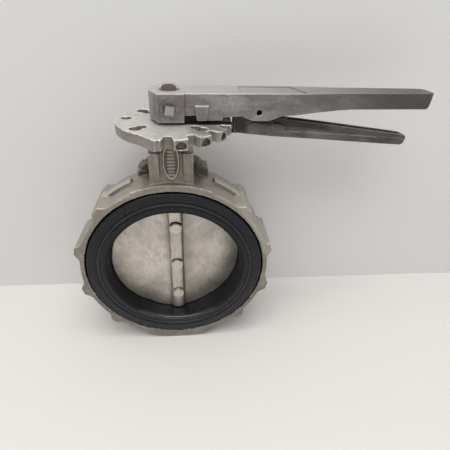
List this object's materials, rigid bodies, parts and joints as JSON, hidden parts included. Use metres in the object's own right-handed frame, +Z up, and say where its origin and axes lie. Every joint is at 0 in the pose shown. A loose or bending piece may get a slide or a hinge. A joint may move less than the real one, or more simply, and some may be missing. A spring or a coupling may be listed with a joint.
{
  "type": "butterfly valve",
  "caption": "Wafer butterfly valve: lobed cast ring, rubber seat, domed disc on an upright stem, and a squeeze-latch lever handle over a notched plate.",
  "frame": {"origin": "middle of the pipe bore, where the stem's axis crosses the pipe's axis", "axes": "+Z up the stem, +Y along the pipe, +X along the handle when the valve is closed"},
  "size_m": [0.3694, 0.1132, 0.3076],
  "materials": {
    "cast_stainless": "bead-blasted casting",
    "satin_stainless": "satin",
    "turned_steel": "bright turned",
    "cast_aluminium": "tumbled casting",
    "dark_cast_aluminium": "tumbled casting",
    "black_rubber": "satin",
    "bronze": "machined"
  },
  "bodies": {
    "valve_body": {"body": "cast_stainless", "seat_liner": "black_rubber", "upper_bushing": "bronze", "middle_bushing": "bronze", "lower_bushing": "bronze", "stem_seal": "black_rubber", "thrust_washer": "bronze", "weather_seal": "black_rubber"},
    "rotor": {"stem": "turned_steel", "disc": "satin_stainless", "disc_screws": "turned_steel", "disc_screw_orings": "black_rubber", "stem_orings": "black_rubber", "stem_retaining_ring": "turned_steel", "hub_washer": "turned_steel", "handle": "cast_aluminium", "handle_set_screw": "turned_steel", "pivot_pin": "turned_steel", "latch_spring": "turned_steel"},
    "latch": {"latch_lever": "dark_cast_aluminium"}
  },
  "joints": [
    {"name": "handle_turn", "type": "hinge", "parent": "valve_body", "child": "rotor", "pos_m": [0, 0, 0], "axis": [0, 0, 1], "range_deg": [-92.4, 0]},
    {"name": "latch_squeeze", "type": "hinge", "parent": "rotor", "child": "latch", "pos_m": [0.08253, 0.00346, 0.1743], "axis": [0.0419, -0.9991, 0], "range_deg": [0, 9.5], "stiffness_Nm_per_rad": 4, "springref_deg": -45.84, "deforming": ["latch_spring"]}
  ]
}
